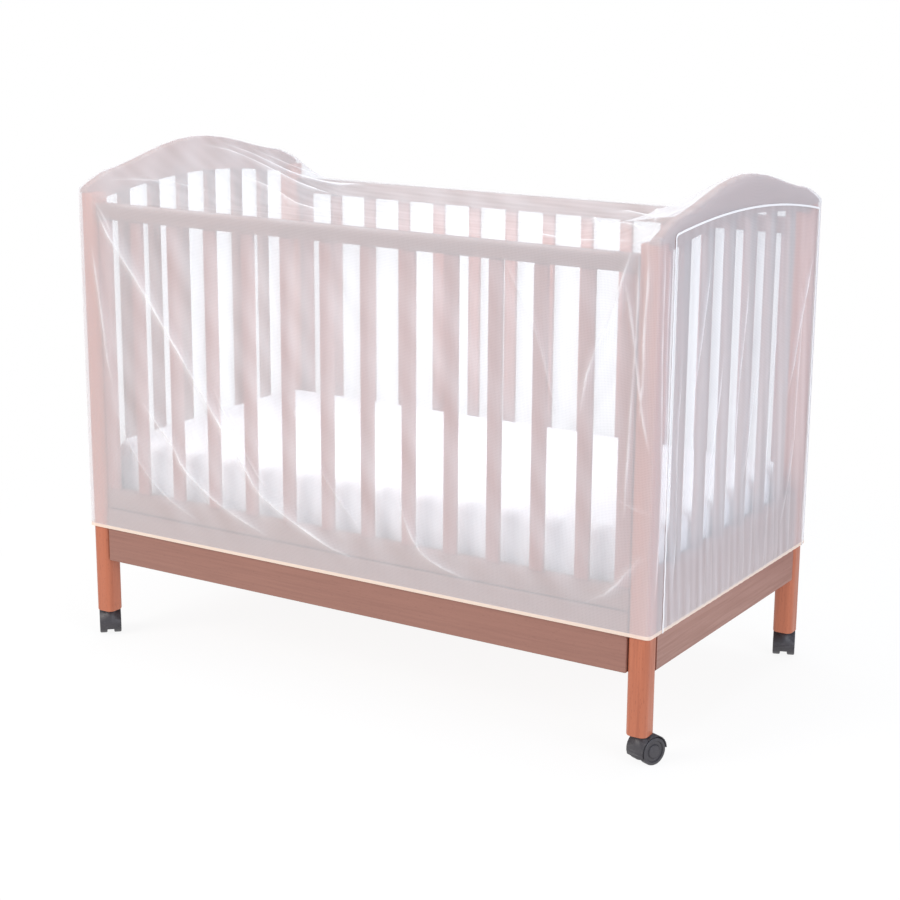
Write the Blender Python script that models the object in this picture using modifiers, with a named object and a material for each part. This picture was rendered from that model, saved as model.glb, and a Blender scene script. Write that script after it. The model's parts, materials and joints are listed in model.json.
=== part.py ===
# Crib mosquito net hung over a plain slatted crib on casters.
# Metres, +Z up. X runs along the crib, its front faces -Y, and the origin is on the floor under its middle.

import math

import bmesh
import bpy
from mathutils import Matrix, Vector

FIT_GAP = 0.0003  # between pieces that touch

# Crib frame, outside sizes and heights above the floor
CRIB_LENGTH = 1.240
CRIB_WIDTH = 0.6712
POST_SIZE = 0.040
POST_ROUND = 0.010
POST_BOTTOM = 0.055
POST_TOP = 0.900
APRON_BOTTOM = 0.166
APRON_TOP = 0.275
APRON_THICK = 0.020
APRON_INSET = 0.001
BOTTOM_RAIL_TOP = 0.315
BOTTOM_RAIL_THICK = 0.022
BOTTOM_RAIL_INSET = 0.0045
TOP_RAIL_HEIGHT = 0.030
TOP_RAIL_THICK = 0.025
TOP_RAIL_INSET = 0.002
FRONT_RAIL_TOP = 0.881
BACK_RAIL_TOP = 0.870
SIDE_SLATS = 12
SIDE_SLAT_PITCH = 0.0884
SLAT_WIDTH = 0.027
SLAT_THICK = 0.010
SIDE_SLAT_INSET = 0.005
STILE_INNER = 0.550
EDGE_ROUND = 0.003

# Arched end panels
BOARD_THICK = 0.018
BOARD_INSET = 0.002
BOARD_EDGE = 0.005
LOWER_BOARD_TOP = 0.345
END_SLATS = 6
END_SLAT_PITCH = 0.0888
SLAT_TENON = 0.010
SHOULDER_Y = 0.245
SHOULDER_Z = 0.9395
CROWN_RISE = 0.0425
CROWN_POWER = 1.3
SHOULDER_DROP = 0.0295
SHOULDER_POWER = 1.6
WINDOW_TOP = 0.885
WINDOW_RISE = 0.027
WINDOW_STEPS = 10

# Mattress and its base
BASE_THICK = 0.012
MATTRESS_TOP = 0.405
MATTRESS_LENGTH = 1.190
MATTRESS_WIDTH = 0.588
MATTRESS_CORNER = 0.030
MATTRESS_ROUND = 0.016

# Twin-wheel casters
WHEEL_RADIUS = 0.025
WHEEL_SIDES = 20
WHEEL_CHAMFER = 0.0025
WHEEL_OUTER_Y = 0.0215
WHEEL_INNER_Y = 0.0065
AXLE_RADIUS = 0.003
CASTER_TRAIL = 0.0175
HOOD_RADIUS = 0.0285
HOOD_HALF_WIDTH = 0.0205
WEB_HALF_WIDTH = 0.0056
WHEEL_CLEARANCE = 0.0012
HOOD_CUT_Z = 0.020
HOOD_CUT_TILT = 14.0
NECK_RADIUS = 0.0105
STEM_RADIUS = 0.004
STEM_TOP = 0.085
ROUND_SIDES = 24
# name, side along X, side along Y, direction of the trail in degrees from +X
CASTERS = (
    ("front_left", -1, -1, 133.0),
    ("front_right", 1, -1, 68.3),
    ("rear_left", -1, 1, 80.0),
    ("rear_right", 1, 1, 111.7),
)

# Net: inner face of the cloth, and how it is sewn and hung
NET_THICK = 0.0015
NET_X = 0.6235
NET_Y = 0.3386
HEM_Z = 0.2346
NET_ON_BOARD = 0.0006
NET_ON_RAIL = 0.003
SIDE_ROUND = 0.008
TOP_ROUND = 0.009
SAG = 0.014
SLOPE_EDGE = 0.060
SLOPE_MIDDLE = 0.300
SLOPE_POWER = 1.6
SLOPE_SPREAD = 0.7
SLOPE_INSET = 0.002
SEAM_FRONT_Y = -0.290
SEAM_REAR_Y = 0.320
SEAM_ROUND = 0.008
SEAM_CREST_Y = -0.050
SEAM_CREST_Z = 0.926
SEAM_FALL = 0.250
SEAM_GAP = 0.0003
BINDING_HALF_WIDTH = 0.0025
BINDING_THICK = 0.0012
INNER_COLUMNS = 30
FLAP_COLUMNS = 3
WALL_ROWS = 13
BACK_ROWS = 7
TOP_ROWS = 14
ROUND_STEPS = 2
END_SPLIT = 3
FOLD_TAPER = 0.060
FOLD_REACH = 0.040
GATHERS = 12
GATHER_HEIGHT = 0.005
GATHER_RISE = 0.140

# Main folds. Each has the width and the height of its ridge, then its corners as pairs of X, Z on the
# front and back, Y, Z on the ends, and X, Y on the top
FRONT_FOLDS = (
    # half width, height, corners
    (0.022, 0.009, ((-0.575, 0.865), (-0.415, 0.669), (-0.193, 0.371), (0.014, 0.278))),
    (0.018, 0.006, ((-0.590, 0.800), (-0.549, 0.546))),
    (0.020, 0.007, ((-0.470, 0.505), (-0.314, 0.349), (-0.176, 0.284))),
    (0.018, 0.006, ((0.566, 0.868), (0.546, 0.794), (0.484, 0.611))),
    (0.018, 0.006, ((0.120, 0.400), (0.180, 0.305), (0.270, 0.278))),
    (0.018, 0.006, ((0.505, 0.284), (0.549, 0.307), (0.604, 0.380))),
)
BACK_FOLDS = (
    (0.024, 0.009, ((0.360, 0.840), (0.180, 0.480), (0.020, 0.300))),
    (0.020, 0.007, ((-0.560, 0.840), (-0.440, 0.520))),
)
END_FOLDS = (
    (0.014, 0.006, ((0.300, 0.790), (0.262, 0.720), (0.215, 0.560))),
    (0.014, 0.005, ((-0.150, 0.860), (-0.205, 0.640), (-0.190, 0.440))),
    (0.014, 0.005, ((0.060, 0.640), (0.020, 0.430))),
)
TOP_FOLDS = (
    (0.020, 0.007, ((-0.575, 0.050), (-0.520, 0.110), (-0.440, 0.190), (-0.380, 0.290))),
    (0.020, 0.007, ((-0.560, -0.030), (-0.460, 0.020), (-0.330, 0.090))),
    (0.018, 0.006, ((-0.430, -0.060), (-0.300, -0.060), (-0.180, -0.110))),
    (0.020, 0.007, ((0.570, 0.060), (0.430, 0.130), (0.250, 0.240))),
    (0.018, 0.006, ((0.560, -0.200), (0.400, -0.090), (0.270, 0.060))),
)

HALF_LENGTH = CRIB_LENGTH / 2
HALF_WIDTH = CRIB_WIDTH / 2
POST_INNER_X = HALF_LENGTH - POST_SIZE
POST_INNER_Y = HALF_WIDTH - POST_SIZE
BOARD_OUTER_X = HALF_LENGTH - BOARD_INSET
BOARD_INNER_X = BOARD_OUTER_X - BOARD_THICK
SLOPE_X = BOARD_INNER_X - SLOPE_INSET
SHARP_ANGLE = math.radians(35)


def clear_scene():
    for item in list(bpy.data.objects):
        bpy.data.objects.remove(item, do_unlink=True)


def new_collection(name):
    collection = bpy.data.collections.new(name)
    bpy.context.scene.collection.children.link(collection)
    return collection


def new_material(name, colour, roughness, metallic=0.0, alpha=1.0):
    material = bpy.data.materials.new(name)
    material.use_nodes = True
    shader = material.node_tree.nodes["Principled BSDF"]
    shader.inputs["Base Color"].default_value = (*colour, 1.0)
    shader.inputs["Roughness"].default_value = roughness
    shader.inputs["Metallic"].default_value = metallic
    shader.inputs["Alpha"].default_value = alpha
    return material


def add_object(name, bm, collection, material=None, parent=None):
    mesh = bpy.data.meshes.new(name)
    bm.to_mesh(mesh)
    bm.free()
    mesh.shade_smooth()
    mesh.set_sharp_from_angle(angle=SHARP_ANGLE)
    item = bpy.data.objects.new(name, mesh)
    collection.objects.link(item)
    item.parent = parent
    if material:
        mesh.materials.append(material)
    return item


def box_mesh(size, edge_round=0.0, along=None, segments=1):
    """A box about its own centre. Its edges are rounded, or only those along one axis (0, 1 or 2)."""
    bm = bmesh.new()
    bmesh.ops.create_cube(bm, size=1.0)
    bmesh.ops.scale(bm, vec=Vector(size), verts=bm.verts)
    if edge_round:
        edges = [e for e in bm.edges if along is None or abs((e.verts[0].co - e.verts[1].co)[along]) > 1e-6]
        bmesh.ops.bevel(bm, geom=edges, offset=edge_round, segments=segments, profile=0.5, affect="EDGES")
    return bm


def add_box(name, low, high, collection, material=None, edge_round=0.0, along=None, segments=1):
    low, high = Vector(low), Vector(high)
    item = add_object(name, box_mesh(high - low, edge_round, along, segments), collection, material)
    item.location = (low + high) / 2
    return item


def add_cylinder(name, radius, length, collection, sides=ROUND_SIDES, turn=0.0):
    """A cylinder about the origin, along Z."""
    bm = bmesh.new()
    bmesh.ops.create_cone(
        bm, cap_ends=True, segments=sides, radius1=radius, radius2=radius, depth=length,
        matrix=Matrix.Rotation(turn, 4, "Z"),
    )
    return add_object(name, bm, collection)


def as_cutter(item):
    item.hide_render = True
    item.display_type = "WIRE"
    return item


def add_boolean(item, other, operation):
    modifier = item.modifiers.new(other.name, "BOOLEAN")
    modifier.operation = operation
    modifier.solver = "EXACT"
    modifier.object = other


def arch_height(y):
    """Top edge of an arched end board."""
    reach = abs(y)
    if reach < SHOULDER_Y:
        return SHOULDER_Z + CROWN_RISE * math.cos(math.pi * reach / (2 * SHOULDER_Y)) ** CROWN_POWER
    past = (reach - SHOULDER_Y) / (HALF_WIDTH - SHOULDER_Y)
    return SHOULDER_Z - SHOULDER_DROP * past ** SHOULDER_POWER


def window_top(y):
    """Lower edge of an arched end board."""
    return WINDOW_TOP + WINDOW_RISE * math.cos(math.pi * y / (2 * POST_INNER_Y))


def top_stations():
    """Places along Y that the arched boards and the net above them share."""
    reach = NET_Y - TOP_ROUND
    return [-reach + 2 * reach * i / TOP_ROWS for i in range(TOP_ROWS + 1)]


def add_posts(parts, cutters, wood):
    for name, side_x, side_y, _ in CASTERS:
        x = side_x * (HALF_LENGTH - POST_SIZE / 2)
        y = side_y * (HALF_WIDTH - POST_SIZE / 2)
        low = (x - POST_SIZE / 2, y - POST_SIZE / 2, POST_BOTTOM)
        high = (x + POST_SIZE / 2, y + POST_SIZE / 2, POST_TOP)
        post = add_box(f"post_{name}", low, high, parts, wood, POST_ROUND, along=2, segments=3)
        depth = STEM_TOP + 2 * FIT_GAP - POST_BOTTOM
        bore = as_cutter(add_cylinder(f"stem_bore_{name}", STEM_RADIUS + FIT_GAP, 2 * depth, cutters))
        bore.location = (x, y, POST_BOTTOM)
        add_boolean(post, bore, "DIFFERENCE")


def add_side(side, face, rail_top, parts, wood):
    """The slatted front (face -1) or back (face 1) between its posts."""
    reach = POST_INNER_X - FIT_GAP

    def bar(name, x_low, x_high, inset, thick, z_low, z_high, edge_round=EDGE_ROUND, along=None):
        outer = HALF_WIDTH - inset
        y_low, y_high = sorted((face * outer, face * (outer - thick)))
        low = (x_low, y_low, z_low)
        add_box(f"{side}_{name}", low, (x_high, y_high, z_high), parts, wood, edge_round, along)

    rail_bottom = rail_top - TOP_RAIL_HEIGHT
    slat_low = BOTTOM_RAIL_TOP + FIT_GAP
    slat_high = rail_bottom - FIT_GAP
    bar("apron", -reach, reach, APRON_INSET, APRON_THICK, APRON_BOTTOM, APRON_TOP, along=0)
    bar("bottom_rail", -reach, reach, BOTTOM_RAIL_INSET, BOTTOM_RAIL_THICK,
        APRON_TOP + FIT_GAP, BOTTOM_RAIL_TOP, along=0)
    bar("top_rail", -reach, reach, TOP_RAIL_INSET, TOP_RAIL_THICK, rail_bottom, rail_top, along=0)
    bar("stile_left", -reach, -STILE_INNER, SIDE_SLAT_INSET, SLAT_THICK, slat_low, slat_high, along=2)
    bar("stile_right", STILE_INNER, reach, SIDE_SLAT_INSET, SLAT_THICK, slat_low, slat_high, along=2)
    for i in range(SIDE_SLATS):
        x = (i - (SIDE_SLATS - 1) / 2) * SIDE_SLAT_PITCH
        bar(f"slat_{i + 1:02d}", x - SLAT_WIDTH / 2, x + SLAT_WIDTH / 2, SIDE_SLAT_INSET, SLAT_THICK,
            slat_low, slat_high, along=2)


def arch_outline():
    """Corners of an arched board, as Y and Z, once round."""
    over_post = POST_TOP + FIT_GAP
    between = POST_INNER_Y - FIT_GAP
    crown = [(y, arch_height(y)) for y in top_stations()]
    low_side = [(HALF_WIDTH, over_post), (between, over_post), (between, window_top(between))]
    under = [between - 2 * between * i / WINDOW_STEPS for i in range(1, WINDOW_STEPS)]
    lower = [(y, window_top(y)) for y in under]
    mirrored = [(-y, z) for y, z in reversed(low_side)]
    return crown + low_side + lower + mirrored


def add_end_panel(name, side, parts, cutters, wood):
    """An arched board over slats and a lower board, glued up as one panel."""
    centre_x = side * (BOARD_INNER_X + BOARD_OUTER_X) / 2
    between = POST_INNER_Y - FIT_GAP
    outline = arch_outline()
    bm = bmesh.new()
    corners = [bm.verts.new((-BOARD_THICK / 2, y, z)) for y, z in outline]
    face = bm.faces.new(corners)
    grown = bmesh.ops.extrude_face_region(bm, geom=[face])["geom"]
    moved = [v for v in grown if isinstance(v, bmesh.types.BMVert)]
    bmesh.ops.translate(bm, vec=(BOARD_THICK, 0, 0), verts=moved)
    bmesh.ops.recalc_face_normals(bm, faces=bm.faces)
    crown = [
        e for e in bm.edges
        if abs(e.verts[0].co.x - e.verts[1].co.x) < 1e-6
        and min(v.co.z for v in e.verts) > POST_TOP + 2 * FIT_GAP
        and min(v.co.z - window_top(v.co.y) for v in e.verts) > 2 * FIT_GAP
    ]
    bmesh.ops.bevel(bm, geom=crown, offset=BOARD_EDGE, segments=1, profile=0.5, affect="EDGES")
    panel = add_object(name, bm, parts, wood)
    panel.location.x = centre_x

    lower = add_box(f"{name}_lower_board", (centre_x - BOARD_THICK / 2, -between, APRON_BOTTOM),
                    (centre_x + BOARD_THICK / 2, between, LOWER_BOARD_TOP), cutters,
                    edge_round=EDGE_ROUND, along=1)
    pieces = [lower]
    for i in range(END_SLATS):
        y = (i - (END_SLATS - 1) / 2) * END_SLAT_PITCH
        low = (centre_x - SLAT_THICK / 2, y - SLAT_WIDTH / 2, LOWER_BOARD_TOP - SLAT_TENON)
        high = (centre_x + SLAT_THICK / 2, y + SLAT_WIDTH / 2, window_top(y) + SLAT_TENON)
        pieces.append(add_box(f"{name}_slat_{i + 1}", low, high, cutters))
    for piece in pieces:
        add_boolean(panel, as_cutter(piece), "UNION")


def add_mattress(parts, wood, fabric):
    base_x = BOARD_INNER_X - FIT_GAP
    base_y = POST_INNER_Y - FIT_GAP
    add_box("mattress_base", (-base_x, -base_y, APRON_TOP - BASE_THICK), (base_x, base_y, APRON_TOP), parts, wood)
    bm = box_mesh((MATTRESS_LENGTH, MATTRESS_WIDTH, MATTRESS_TOP - APRON_TOP - FIT_GAP),
                  MATTRESS_CORNER, along=2, segments=3)
    flat = [f for f in bm.faces if abs(f.normal.z) > 0.9]
    rims = {e for f in flat for e in f.edges}
    bmesh.ops.bevel(bm, geom=list(rims), offset=MATTRESS_ROUND, segments=2, profile=0.5, affect="EDGES")
    mattress = add_object("mattress", bm, parts, fabric)
    mattress.location.z = (MATTRESS_TOP + APRON_TOP + FIT_GAP) / 2


def add_wheel_pair(name, pivot, parts, plastic):
    """Two wheels on one axle, turned from half a profile that runs down from the axle's end."""
    rim = WHEEL_RADIUS / math.cos(math.pi / WHEEL_SIDES)
    half = [
        (0.0, WHEEL_OUTER_Y),
        (rim - WHEEL_CHAMFER, WHEEL_OUTER_Y),
        (rim, WHEEL_OUTER_Y - WHEEL_CHAMFER),
        (rim, WHEEL_INNER_Y),
        (AXLE_RADIUS, WHEEL_INNER_Y),
    ]
    profile = half + [(r, -y) for r, y in reversed(half)]
    bm = bmesh.new()
    corners = [bm.verts.new((r, 0, y)) for r, y in profile]
    for first, second in zip(corners, corners[1:]):
        bm.edges.new((first, second))
    bmesh.ops.rotate(bm, verts=bm.verts, matrix=Matrix.Rotation(math.pi / WHEEL_SIDES, 3, "Z"))
    wheels = add_object(f"caster_wheels_{name}", bm, parts, plastic, pivot)
    wheels.location = (CASTER_TRAIL, 0, WHEEL_RADIUS)
    wheels.rotation_euler.x = math.pi / 2
    screw = wheels.modifiers.new("turned", "SCREW")
    screw.steps = screw.render_steps = WHEEL_SIDES
    screw.use_merge_vertices = True
    screw.merge_threshold = 0.00001
    screw.use_smooth_shade = False


def add_hood(name, pivot, parts, cutters, plastic):
    """The caster's hood: a web between the wheels, a cover over them, a neck and a stem."""
    across = Matrix.Rotation(math.pi / 2, 4, "X")
    turn = math.pi / ROUND_SIDES

    def round_piece(label, radius, length, x, y, z, flat=False):
        piece = add_cylinder(f"hood_{label}_{name}", radius, length, cutters, turn=turn)
        piece.parent = pivot
        piece.matrix_local = Matrix.Translation((x, y, z)) @ (Matrix() if flat else across)
        return as_cutter(piece)

    hood = add_cylinder(f"caster_hood_{name}", HOOD_RADIUS, 2 * HOOD_HALF_WIDTH, parts, turn=turn)
    hood.data.transform(across)
    hood.parent = pivot
    hood.location = (CASTER_TRAIL, 0, WHEEL_RADIUS)
    hood.data.materials.append(plastic)
    neck_top = POST_BOTTOM - FIT_GAP
    neck = round_piece("neck", NECK_RADIUS, neck_top - WHEEL_RADIUS, 0, 0, (neck_top + WHEEL_RADIUS) / 2, flat=True)
    stem = round_piece("stem", STEM_RADIUS, STEM_TOP - WHEEL_RADIUS, 0, 0, (STEM_TOP + WHEEL_RADIUS) / 2, flat=True)
    cut_length = HOOD_HALF_WIDTH
    cut_y = WEB_HALF_WIDTH + cut_length / 2 + FIT_GAP
    room = WHEEL_RADIUS / math.cos(math.pi / WHEEL_SIDES) + WHEEL_CLEARANCE
    wheel_room = [
        round_piece(f"wheel_room_{side}", room, cut_length, CASTER_TRAIL, side * cut_y, WHEEL_RADIUS)
        for side in (-1, 1)
    ]
    bore = round_piece("bore", AXLE_RADIUS + FIT_GAP, 4 * WEB_HALF_WIDTH, CASTER_TRAIL, 0, WHEEL_RADIUS)
    below = add_object(f"hood_below_{name}", box_mesh((0.12, 0.06, 0.06)), cutters, parent=pivot)
    tilt = Matrix.Rotation(math.radians(-HOOD_CUT_TILT), 4, "Y")
    below.matrix_local = Matrix.Translation((CASTER_TRAIL, 0, HOOD_CUT_Z)) @ tilt @ Matrix.Translation((0, 0, -0.03))
    for piece in (neck, stem):
        add_boolean(hood, piece, "UNION")
    for piece in (*wheel_room, bore, as_cutter(below)):
        add_boolean(hood, piece, "DIFFERENCE")


def add_casters(parts, cutters, plastic):
    for name, side_x, side_y, trail in CASTERS:
        pivot = bpy.data.objects.new(f"caster_pivot_{name}", None)
        cutters.objects.link(pivot)
        pivot.location = (side_x * (HALF_LENGTH - POST_SIZE / 2), side_y * (HALF_WIDTH - POST_SIZE / 2), 0)
        pivot.rotation_euler.z = math.radians(trail)
        add_hood(name, pivot, parts, cutters, plastic)
        add_wheel_pair(name, pivot, parts, plastic)


def top_height(x, y):
    """Inner face of the net's top: on the arched boards at the ends, down to the rails between them."""
    along = (y + NET_Y) / (2 * NET_Y)
    flat = NET_ON_RAIL + FRONT_RAIL_TOP + (BACK_RAIL_TOP - FRONT_RAIL_TOP) * along
    across = max(math.cos(math.pi * y / (2 * NET_Y)), 0.0) ** SLOPE_SPREAD
    run = SLOPE_EDGE + (SLOPE_MIDDLE - SLOPE_EDGE) * across
    rise = max(1 - max(SLOPE_X - abs(x), 0.0) / run, 0.0) ** SLOPE_POWER
    sag = SAG * max(1 - (x / SLOPE_X) ** 2, 0.0) * max(1 - (y / NET_Y) ** 2, 0.0)
    return flat + (arch_height(min(abs(y), HALF_WIDTH)) + NET_ON_BOARD - flat) * rise - sag


def seam_height(y):
    """Height of the seam that follows the arch on each end."""
    return SEAM_CREST_Z - SEAM_FALL * (y - SEAM_CREST_Y) ** 2


def wall_outline(x, part, share):
    """Y, Z and the inward direction on the net's outline at one place along the crib."""
    reach = NET_Y - TOP_ROUND
    if part in ("front", "back"):
        face = -1 if part == "front" else 1
        top = top_height(x, face * reach) - TOP_ROUND
        return Vector((face * NET_Y, HEM_Z + (top - HEM_Z) * share)), Vector((-face, 0))
    if part in ("front_round", "back_round"):
        face = -1 if part == "front_round" else 1
        turn = share * math.pi / 2
        out = Vector((face * math.cos(turn), math.sin(turn)))
        return Vector((face * reach, top_height(x, face * reach) - TOP_ROUND)) + TOP_ROUND * out, -out
    y = -reach + 2 * reach * share
    return Vector((y, top_height(x, y))), Vector((0, -1))


def seam_outline(part, share):
    """Y, Z and the inward direction on the seam line."""
    low_y, high_y = SEAM_FRONT_Y + SEAM_ROUND, SEAM_REAR_Y - SEAM_ROUND
    if part in ("front", "back"):
        face, y = (-1, SEAM_FRONT_Y) if part == "front" else (1, SEAM_REAR_Y)
        return Vector((y, HEM_Z + (seam_height(y) - SEAM_ROUND - HEM_Z) * share)), Vector((-face, 0))
    if part in ("front_round", "back_round"):
        face, middle = (-1, low_y) if part == "front_round" else (1, high_y)
        turn = share * math.pi / 2
        out = Vector((face * math.cos(turn), math.sin(turn)))
        y = middle + face * SEAM_ROUND * math.cos(turn)
        return Vector((y, seam_height(y) - SEAM_ROUND * (1 - math.sin(turn)))), -out
    y = low_y + (high_y - low_y) * share
    return Vector((y, seam_height(y))), Vector((0, -1))


def outline_rows(top_split=1):
    """Stations round the outline, from the front hem over the top to the back hem."""
    rows = [("front", i / WALL_ROWS) for i in range(WALL_ROWS + 1)]
    rows += [("front_round", i / ROUND_STEPS) for i in range(1, ROUND_STEPS)]
    top = TOP_ROWS * top_split
    rows += [("top", i / top) for i in range(top + 1)]
    rows += [("back_round", 1 - i / ROUND_STEPS) for i in range(1, ROUND_STEPS)]
    rows += [("back", 1 - i / BACK_ROWS) for i in range(BACK_ROWS + 1)]
    return rows


def panel_columns():
    """Stations across the main panel: kind, side and share."""
    inner = [("flat", 1, SLOPE_X * (2 * i / INNER_COLUMNS - 1)) for i in range(INNER_COLUMNS + 1)]
    right = [("round", 1, i / ROUND_STEPS) for i in range(ROUND_STEPS + 1)]
    right += [("flap", 1, i / FLAP_COLUMNS) for i in range(1, FLAP_COLUMNS + 1)]
    left = [(kind, -1, share) for kind, _, share in reversed(right)]
    return left + inner + right


def place_panel(column, row):
    """A point of the main panel's inner face."""
    kind, side, share = column
    if kind == "flat":
        point, _ = wall_outline(share, *row)
        return Vector((share, point.x, point.y))
    edge, inward = wall_outline(NET_X, *row)
    turn = share * math.pi / 2 if kind == "round" else math.pi / 2
    x = side * (NET_X - SIDE_ROUND * (1 - math.sin(turn)))
    point = edge + inward * SIDE_ROUND * (1 - math.cos(turn))
    if kind == "flap":
        seam, seam_inward = seam_outline(*row)
        point = point.lerp(seam - seam_inward * SEAM_GAP, share)
    return Vector((x, point.x, point.y))


def place_end(column, height):
    """A point of the right end panel's inner face."""
    point, inward = seam_outline(*column)
    top = point + inward * SEAM_GAP
    return Vector((NET_X, top.x, HEM_Z + (top.y - HEM_Z) * height))


def grid_mesh(columns, rows, place):
    bm = bmesh.new()
    across, up = len(columns) - 1, len(rows) - 1
    bmesh.ops.create_grid(bm, x_segments=across, y_segments=up, size=0.5)
    for vert in bm.verts:
        column = columns[round((vert.co.x + 0.5) * across)]
        row = rows[round((vert.co.y + 0.5) * up)]
        vert.co = place(column, row)
    bm.normal_update()
    return bm


def ridge(point, folds):
    """Height of the folds' ridges at a point of a flat side."""
    highest = 0.0
    for half_width, height, corners in folds:
        path = [Vector(corner) for corner in corners]
        lengths = [(b - a).length for a, b in zip(path, path[1:])]
        done = 0.0
        for a, b, length in zip(path, path[1:], lengths):
            share = min(max((point - a).dot(b - a) / length ** 2, 0.0), 1.0)
            off = (a.lerp(b, share) - point).length
            run = done + share * length
            ends = min(1.0, (run + 0.01) / FOLD_TAPER, (sum(lengths) - run + 0.01) / FOLD_TAPER)
            highest = max(highest, height * ends * max(1 - off / half_width, 0.0))
            done += length
    return highest


def raise_folds(bm, folds, outward, first, second):
    """Cuts the sheet along each fold's crest and feet, and lifts the crest along outward."""
    outward = Vector(outward)
    for half_width, _, corners in folds:
        for a, b in zip(corners, corners[1:]):
            a, b = Vector(a), Vector(b)
            normal = Vector((-(b - a).y, (b - a).x)).normalized()
            middle = (a + b) / 2
            near = []
            for face in bm.faces:
                centre = face.calc_center_median()
                off = Vector((centre[first], centre[second])) - middle
                beside = abs(off.dot(normal)) < half_width + FOLD_REACH
                within = abs(off.dot((b - a).normalized())) < ((b - a).length + FOLD_REACH) / 2
                if face.normal.dot(outward) > 0.75 and beside and within:
                    near.append(face)
            for offset in (-half_width, 0.0, half_width):
                spot, across = Vector((0, 0, 0)), Vector((0, 0, 0))
                start = a + normal * offset
                spot[first], spot[second] = start
                across[first], across[second] = normal
                faces = [f for f in near if f.is_valid]
                geom = faces + list({e for f in faces for e in f.edges}) + list({v for f in faces for v in f.verts})
                cut = bmesh.ops.bisect_plane(bm, geom=geom, dist=0.002, plane_co=spot, plane_no=across)
                near = list({f for f in faces + cut["geom"] if isinstance(f, bmesh.types.BMFace)})
    bm.normal_update()
    facing = {v for f in bm.faces if f.normal.dot(outward) > 0.75 for v in f.verts}
    for vert in facing:
        lift = ridge(Vector((vert.co[first], vert.co[second])), folds)
        vert.co += outward * lift


def gather_lift(y, z):
    """Small upright gathers above an end panel's hem."""
    share = (y - SEAM_FRONT_Y) / (SEAM_REAR_Y - SEAM_FRONT_Y)
    inside = min(max(min(share, 1 - share) * 12, 0.0), 1.0)
    wave = 0.5 - 0.5 * math.cos(2 * math.pi * GATHERS * (share + 0.02 * math.sin(9 * share)))
    height = GATHER_RISE * (0.75 + 0.25 * math.sin(23 * share))
    fade = max(1 - (z - HEM_Z) / height, 0.0)
    return GATHER_HEIGHT * inside * wave * fade


def thicken(item, thick):
    solid = item.modifiers.new("cloth", "SOLIDIFY")
    solid.thickness = thick
    solid.offset = 1.0
    solid.use_even_offset = True


def add_net(parts, mesh_cloth, binding_cloth):
    bm = grid_mesh(panel_columns(), outline_rows(), place_panel)
    raise_folds(bm, FRONT_FOLDS, (0, -1, 0), 0, 2)
    raise_folds(bm, BACK_FOLDS, (0, 1, 0), 0, 2)
    raise_folds(bm, TOP_FOLDS, (0, 0, 1), 0, 1)
    thicken(add_object("net_main_panel", bm, parts, mesh_cloth), NET_THICK)

    columns = [row for row in outline_rows(END_SPLIT) if row[0] not in ("front", "back")]
    columns = [("front_round", 0.0)] + columns + [("back_round", 0.0)]
    heights = [(i / WALL_ROWS) ** 1.3 for i in range(WALL_ROWS + 1)]
    for side_name, side in (("left", -1), ("right", 1)):
        bm = grid_mesh(columns, heights, place_end)
        raise_folds(bm, END_FOLDS, (1, 0, 0), 1, 2)
        for vert in bm.verts:
            vert.co.x += gather_lift(vert.co.y, vert.co.z)
        flip_side(bm, side)
        thicken(add_object(f"net_{side_name}_end", bm, parts, mesh_cloth), NET_THICK)

        bm = grid_mesh([-1, 1], outline_rows(), place_binding)
        flip_side(bm, side)
        thicken(add_object(f"seam_binding_{side_name}", bm, parts, binding_cloth), BINDING_THICK)


def place_binding(edge, row):
    """A point of the right seam binding's inner face, on either long edge."""
    point, inward = seam_outline(*row)
    point = point - inward * BINDING_HALF_WIDTH * edge
    return Vector((NET_X + NET_THICK + FIT_GAP, point.x, point.y))


def flip_side(bm, side):
    if side < 0:
        bmesh.ops.scale(bm, vec=(-1, 1, 1), verts=bm.verts)
    bm.normal_update()
    wrong = [f for f in bm.faces if f.normal.x * side < 0]
    bmesh.ops.reverse_faces(bm, faces=wrong)


def build():
    clear_scene()
    parts = new_collection("crib_mosquito_net")
    cutters = new_collection("cutters")
    wood = new_material("beech_wood", (0.50, 0.16, 0.075), 0.45)
    panel_wood = new_material("beech_board", (0.36, 0.17, 0.13), 0.5)
    white_cover = new_material("mattress_cover", (0.86, 0.87, 0.88), 0.9)
    plastic = new_material("caster_plastic", (0.045, 0.04, 0.042), 0.5)
    mesh_cloth = new_material("net_cloth", (0.9, 0.88, 0.87), 0.9, alpha=0.6)
    binding_cloth = new_material("binding_cloth", (0.93, 0.91, 0.89), 0.9)
    add_posts(parts, cutters, wood)
    add_side("front", -1, FRONT_RAIL_TOP, parts, wood)
    add_side("back", 1, BACK_RAIL_TOP, parts, wood)
    add_end_panel("left_end_panel", -1, parts, cutters, panel_wood)
    add_end_panel("right_end_panel", 1, parts, cutters, panel_wood)
    add_mattress(parts, wood, white_cover)
    add_casters(parts, cutters, plastic)
    add_net(parts, mesh_cloth, binding_cloth)


build()
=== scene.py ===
# Crib mosquito net over a plain slatted crib: cloth, finishes, light and camera
import json
import math

import bmesh
import bpy
import numpy as np
from mathutils import Matrix, Vector


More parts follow.
